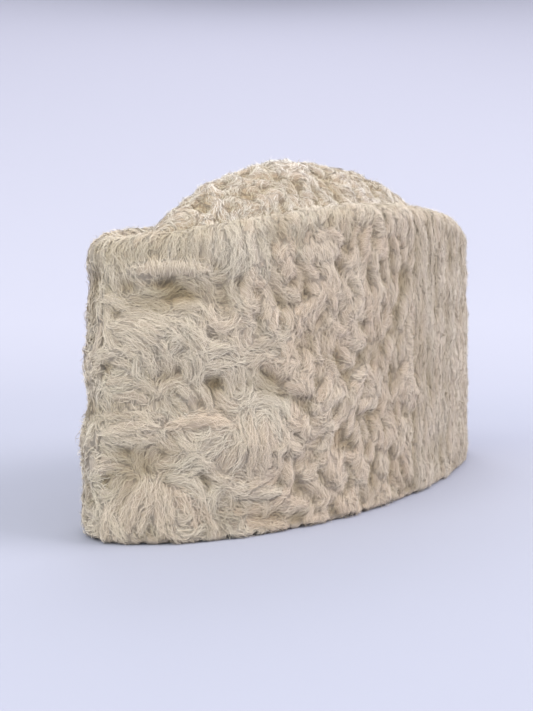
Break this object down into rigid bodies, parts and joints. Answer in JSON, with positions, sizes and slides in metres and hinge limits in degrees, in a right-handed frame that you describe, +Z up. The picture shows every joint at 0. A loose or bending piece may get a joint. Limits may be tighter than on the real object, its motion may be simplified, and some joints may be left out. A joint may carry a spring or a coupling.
{
  "type": "karakul cap",
  "caption": "Boat-shaped karakul cap of curly pale lamb pelt, with a rim folded over and a crown pushed up into a rounded ridge.",
  "frame": {"origin": "middle of the cap's bounding box at the base that it stands on", "axes": "-Y to the front tip, +X to the wearer's left, +Z up through the crown"},
  "size_m": [0.1, 0.2704, 0.148],
  "materials": {
    "beige_lamb_curl": "curly lamb pelt with a soft sheen, pale greyish beige",
    "cream_lamb_curl": "curly lamb pelt with a soft sheen, warm cream"
  },
  "bodies": {
    "root": {"side_panel_left": "beige_lamb_curl", "side_panel_right": "beige_lamb_curl", "crown": "cream_lamb_curl"}
  },
  "joints": []
}
